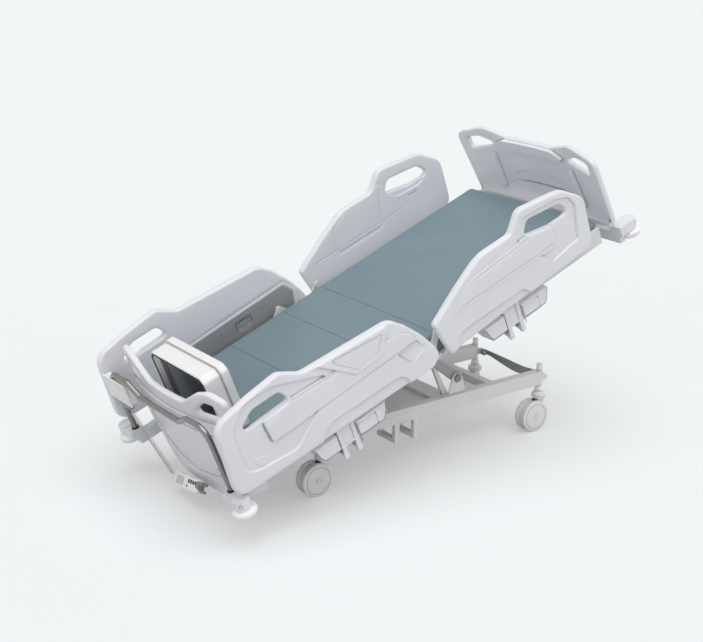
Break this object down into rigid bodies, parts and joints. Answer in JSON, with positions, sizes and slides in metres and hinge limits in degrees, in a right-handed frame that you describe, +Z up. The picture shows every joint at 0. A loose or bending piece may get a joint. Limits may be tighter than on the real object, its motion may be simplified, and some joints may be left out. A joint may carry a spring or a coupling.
{
  "type": "hospital bed",
  "caption": "Tilting hospital bed with a sectional deck, drop-down split side rails, lift-off end boards, a foot support and a handset, on a lift base with twin-wheel castors.",
  "frame": {"origin": "on the floor, under the centre of the bed's bounding box at rest", "axes": "+X along the bed to the head end, +Y to the patient's right, +Z up"},
  "size_m": [2.2729, 1.054, 1.355],
  "materials": {
    "shell_plastic": "satin moulded plastic",
    "painted_steel": "warm grey powder coat",
    "cover_plate": "light grey paint",
    "dark_steel": "dark grey paint",
    "wheel_plastic": "matte light grey",
    "stainless_steel": "brushed stainless",
    "black_rubber": "matte black",
    "warm_plastic": "matte off-white",
    "mattress_cover": "coated teal-grey cloth",
    "cord_plastic": "matte white",
    "bumper_plastic": "satin white"
  },
  "bodies": {
    "base": {"base_rail_left": "painted_steel", "base_rail_right": "painted_steel", "base_cross_head": "painted_steel", "base_cross_middle": "painted_steel", "base_cover": "cover_plate"},
    "brake": {"brake_bar": "dark_steel"},
    "head_arms": {"head_lift_arm_left": "painted_steel", "head_lift_arm_right": "painted_steel"},
    "head_cross_shaft": {"head_shaft": "stainless_steel"},
    "foot_cross_shaft": {"foot_shaft": "stainless_steel"},
    "foot_arms": {"foot_lift_arm_left": "painted_steel", "foot_lift_arm_right": "painted_steel"},
    "upper_frame": {"frame_rail_left": "painted_steel", "frame_rail_right": "painted_steel", "foot_beam": "painted_steel", "head_beam": "painted_steel", "seat_deck": "cover_plate", "seat_mattress": "mattress_cover", "rail_housing_foot_left": "shell_plastic", "rail_housing_foot_right": "shell_plastic", "rail_housing_head_left": "shell_plastic", "rail_housing_head_right": "shell_plastic"},
    "back": {"back_deck": "cover_plate", "back_mattress": "mattress_cover"},
    "thigh": {"thigh_deck": "cover_plate", "thigh_mattress": "mattress_cover"},
    "calf": {"calf_deck": "cover_plate", "calf_mattress": "mattress_cover", "foot_support": "warm_plastic", "foot_pads": "black_rubber"},
    "head_end": {"headboard": "shell_plastic"},
    "foot_end": {"footboard": "shell_plastic", "push_bar": "stainless_steel", "control_box": "warm_plastic", "handset": "warm_plastic", "handset_cord": "cord_plastic"},
    "castor_foot_left": {"castor_housing_foot_left": "painted_steel"},
    "wheels_foot_left": {"castor_wheels_foot_left": "wheel_plastic"},
    "castor_foot_right": {"castor_housing_foot_right": "painted_steel"},
    "wheels_foot_right": {"castor_wheels_foot_right": "wheel_plastic"},
    "castor_head_left": {"castor_housing_head_left": "painted_steel"},
    "wheels_head_left": {"castor_wheels_head_left": "wheel_plastic"},
    "castor_head_right": {"castor_housing_head_right": "painted_steel"},
    "wheels_head_right": {"castor_wheels_head_right": "wheel_plastic"},
    "link_foot_left": {"rail_link_foot_left": "painted_steel"},
    "rail_foot_left": {"side_rail_foot_left": "shell_plastic"},
    "flap_foot_left": {"release_flap_foot_left": "shell_plastic"},
    "bumper_foot_left": {"bumper_foot_left": "bumper_plastic"},
    "link_foot_right": {"rail_link_foot_right": "painted_steel"},
    "rail_foot_right": {"side_rail_foot_right": "shell_plastic"},
    "flap_foot_right": {"release_flap_foot_right": "shell_plastic"},
    "bumper_foot_right": {"bumper_foot_right": "bumper_plastic"},
    "link_head_left": {"rail_link_head_left": "painted_steel"},
    "rail_head_left": {"side_rail_head_left": "shell_plastic"},
    "flap_head_left": {"release_flap_head_left": "shell_plastic"},
    "bumper_head_left": {"bumper_head_left": "bumper_plastic"},
    "link_head_right": {"rail_link_head_right": "painted_steel"},
    "rail_head_right": {"side_rail_head_right": "shell_plastic"},
    "flap_head_right": {"release_flap_head_right": "shell_plastic"},
    "bumper_head_right": {"bumper_head_right": "bumper_plastic"}
  },
  "joints": [
    {"name": "head_lift", "type": "hinge", "parent": "base", "child": "head_arms", "pos_m": [0.2725, 0, 0.361], "axis": [0, 1, 0], "range_deg": [0, 20]},
    {"name": "head_shaft_turn", "type": "hinge", "parent": "head_arms", "child": "head_cross_shaft", "pos_m": [0.07241, 0, 0.52333], "axis": [0, 1, 0], "range_deg": [-20, 0]},
    {"name": "frame_tilt", "type": "hinge", "parent": "head_cross_shaft", "child": "upper_frame", "pos_m": [0.07241, 0, 0.52333], "axis": [0, 1, 0], "range_deg": [0, 30]},
    {"name": "foot_lift", "type": "hinge", "parent": "base", "child": "foot_cross_shaft", "pos_m": [-0.1685, 0, 0.361], "axis": [0, 1, 0], "range_deg": [0, 6.8]},
    {"name": "foot_arm_turn", "type": "hinge", "parent": "foot_cross_shaft", "child": "foot_arms", "pos_m": [-0.1685, 0, 0.361], "axis": [0, 1, 0], "range_deg": [0, 63.9]},
    {"name": "brake_turn", "type": "hinge", "parent": "base", "child": "brake", "pos_m": [0.8085, 0, 0.25], "axis": [0, 1, 0], "range_deg": [-15, 15]},
    {"name": "castor_swivel_foot_left", "type": "hinge", "parent": "base", "child": "castor_foot_left", "pos_m": [-0.4635, -0.23, 0], "axis": [0, 0, 1], "continuous": true},
    {"name": "wheel_spin_foot_left", "type": "hinge", "parent": "castor_foot_left", "child": "wheels_foot_left", "pos_m": [-0.5055, -0.23, 0.075], "axis": [0, 1, 0], "continuous": true},
    {"name": "castor_swivel_foot_right", "type": "hinge", "parent": "base", "child": "castor_foot_right", "pos_m": [-0.4635, 0.23, 0], "axis": [0, 0, 1], "continuous": true},
    {"name": "wheel_spin_foot_right", "type": "hinge", "parent": "castor_foot_right", "child": "wheels_foot_right", "pos_m": [-0.5055, 0.23, 0.075], "axis": [0, 1, 0], "continuous": true},
    {"name": "castor_swivel_head_left", "type": "hinge", "parent": "base", "child": "castor_head_left", "pos_m": [0.7765, -0.23, 0], "axis": [0, 0, 1], "continuous": true},
    {"name": "wheel_spin_head_left", "type": "hinge", "parent": "castor_head_left", "child": "wheels_head_left", "pos_m": [0.7345, -0.23, 0.075], "axis": [0, 1, 0], "continuous": true},
    {"name": "castor_swivel_head_right", "type": "hinge", "parent": "base", "child": "castor_head_right", "pos_m": [0.7765, 0.23, 0], "axis": [0, 0, 1], "continuous": true},
    {"name": "wheel_spin_head_right", "type": "hinge", "parent": "castor_head_right", "child": "wheels_head_right", "pos_m": [0.7345, 0.23, 0.075], "axis": [0, 1, 0], "continuous": true},
    {"name": "rail_drop_foot_left", "type": "hinge", "parent": "upper_frame", "child": "link_foot_left", "pos_m": [-0.48311, -0.455, 0.31577], "axis": [0.9336, 0, 0.3584], "range_deg": [0, 150]},
    {"name": "rail_level_foot_left", "type": "hinge", "parent": "link_foot_left", "child": "rail_foot_left", "pos_m": [-0.52611, -0.455, 0.4278], "axis": [0.9336, 0, 0.3584], "range_deg": [-150, 0]},
    {"name": "release_flap_foot_left", "type": "hinge", "parent": "upper_frame", "child": "flap_foot_left", "pos_m": [-0.40354, -0.4637, 0.40148], "axis": [-0.9336, 0, -0.3584], "range_deg": [0, 35]},
    {"name": "bumper_spin_foot_left", "type": "hinge", "parent": "upper_frame", "child": "bumper_foot_left", "pos_m": [-1.0149, -0.475, 0.20268], "axis": [-0.3584, 0, 0.9336], "continuous": true},
    {"name": "rail_drop_foot_right", "type": "hinge", "parent": "upper_frame", "child": "link_foot_right", "pos_m": [-0.48311, 0.455, 0.31577], "axis": [-0.9336, 0, -0.3584], "range_deg": [0, 150]},
    {"name": "rail_level_foot_right", "type": "hinge", "parent": "link_foot_right", "child": "rail_foot_right", "pos_m": [-0.52611, 0.455, 0.4278], "axis": [-0.9336, 0, -0.3584], "range_deg": [-150, 0]},
    {"name": "release_flap_foot_right", "type": "hinge", "parent": "upper_frame", "child": "flap_foot_right", "pos_m": [-0.40354, 0.4637, 0.40148], "axis": [0.9336, 0, 0.3584], "range_deg": [0, 35]},
    {"name": "bumper_spin_foot_right", "type": "hinge", "parent": "upper_frame", "child": "bumper_foot_right", "pos_m": [-1.0149, 0.475, 0.20268], "axis": [-0.3584, 0, 0.9336], "continuous": true},
    {"name": "rail_drop_head_left", "type": "hinge", "parent": "upper_frame", "child": "link_head_left", "pos_m": [0.40006, -0.455, 0.65478], "axis": [0.9336, 0, 0.3584], "range_deg": [0, 150]},
    {"name": "rail_level_head_left", "type": "hinge", "parent": "link_head_left", "child": "rail_head_left", "pos_m": [0.35706, -0.455, 0.76681], "axis": [0.9336, 0, 0.3584], "range_deg": [-150, 0]},
    {"name": "release_flap_head_left", "type": "hinge", "parent": "upper_frame", "child": "flap_head_left", "pos_m": [0.47963, -0.4637, 0.74049], "axis": [-0.9336, 0, -0.3584], "range_deg": [0, 35]},
    {"name": "bumper_spin_head_left", "type": "hinge", "parent": "upper_frame", "child": "bumper_head_left", "pos_m": [1.07445, -0.447, 1.00471], "axis": [-0.3584, 0, 0.9336], "continuous": true},
    {"name": "rail_drop_head_right", "type": "hinge", "parent": "upper_frame", "child": "link_head_right", "pos_m": [0.40006, 0.455, 0.65478], "axis": [-0.9336, 0, -0.3584], "range_deg": [0, 150]},
    {"name": "rail_level_head_right", "type": "hinge", "parent": "link_head_right", "child": "rail_head_right", "pos_m": [0.35706, 0.455, 0.76681], "axis": [-0.9336, 0, -0.3584], "range_deg": [-150, 0]},
    {"name": "release_flap_head_right", "type": "hinge", "parent": "upper_frame", "child": "flap_head_right", "pos_m": [0.47963, 0.4637, 0.74049], "axis": [0.9336, 0, 0.3584], "range_deg": [0, 35]},
    {"name": "bumper_spin_head_right", "type": "hinge", "parent": "upper_frame", "child": "bumper_head_right", "pos_m": [1.07445, 0.447, 1.00471], "axis": [-0.3584, 0, 0.9336], "continuous": true},
    {"name": "back_raise", "type": "hinge", "parent": "upper_frame", "child": "back", "pos_m": [-0.02541, 0, 0.68887], "axis": [0, -1, 0], "range_deg": [0, 65]},
    {"name": "thigh_raise", "type": "hinge", "parent": "upper_frame", "child": "thigh", "pos_m": [-0.24014, 0, 0.60645], "axis": [0, 1, 0], "range_deg": [0, 25]},
    {"name": "calf_level", "type": "hinge", "parent": "thigh", "child": "calf", "pos_m": [-0.48176, 0, 0.39876], "axis": [0, 1, 0], "range_deg": [-25, 0]},
    {"name": "headboard_lift_off", "type": "slide", "parent": "upper_frame", "child": "head_end", "axis": [-0.3584, 0, 0.9336], "range_m": [0, 0.12]},
    {"name": "footboard_lift_off", "type": "slide", "parent": "upper_frame", "child": "foot_end", "axis": [-0.3584, 0, 0.9336], "range_m": [0, 0.12]}
  ],
  "couplings": [
    {"joint": "head_shaft_turn", "follows": "head_lift", "ratio": -1},
    {"joint": "foot_lift", "follows": "head_lift", "ratio": 0.34},
    {"joint": "foot_arm_turn", "follows": "frame_tilt", "ratio": 2.13},
    {"joint": "rail_level_foot_left", "follows": "rail_drop_foot_left", "ratio": -1},
    {"joint": "rail_level_foot_right", "follows": "rail_drop_foot_right", "ratio": -1},
    {"joint": "rail_level_head_left", "follows": "rail_drop_head_left", "ratio": -1},
    {"joint": "rail_level_head_right", "follows": "rail_drop_head_right", "ratio": -1},
    {"joint": "calf_level", "follows": "thigh_raise", "ratio": -1}
  ]
}
